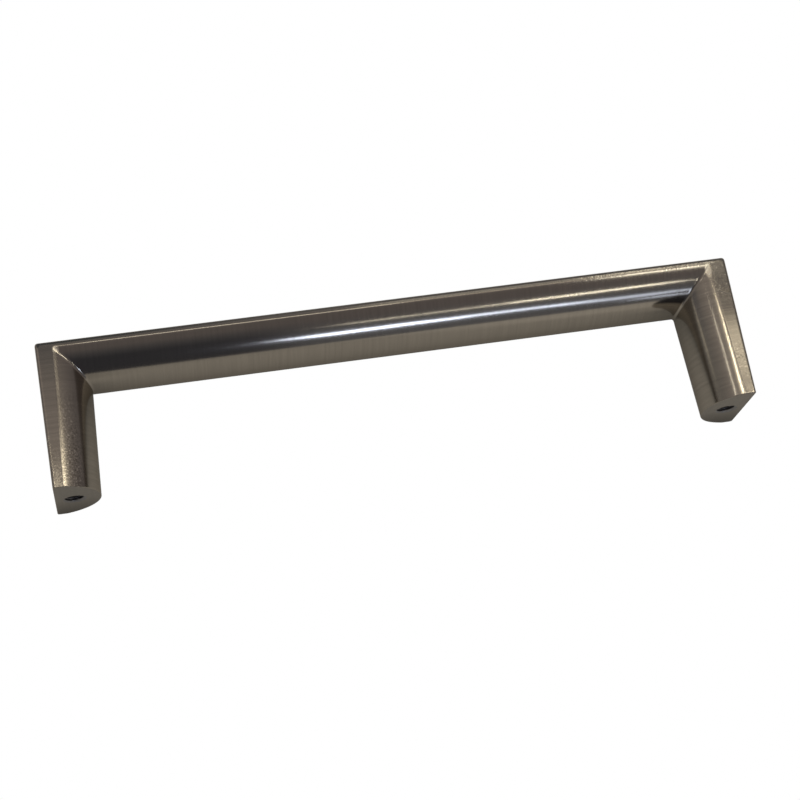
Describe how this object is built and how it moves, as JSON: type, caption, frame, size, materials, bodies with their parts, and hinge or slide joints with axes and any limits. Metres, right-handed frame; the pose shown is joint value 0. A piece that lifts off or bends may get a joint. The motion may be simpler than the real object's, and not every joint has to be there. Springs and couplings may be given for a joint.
{
  "type": "cabinet handle",
  "caption": "Solid metal cabinet handle: a flat-faced, round-backed bar mitred to a leg at each end, with a tapped blind hole in each foot.",
  "frame": {"origin": "midway between the two screw holes, on the mounting plane", "axes": "+X along the bar, +Y from the mounting plane out to the flat outer face, +Z across the width, upwards on a door with the handle mounted level"},
  "size_m": [0.1354, 0.0285, 0.0186],
  "materials": {
    "metal": "satin brushed, with a dark warm nickel tone"
  },
  "bodies": {
    "root": {"handle": "metal"}
  },
  "joints": []
}
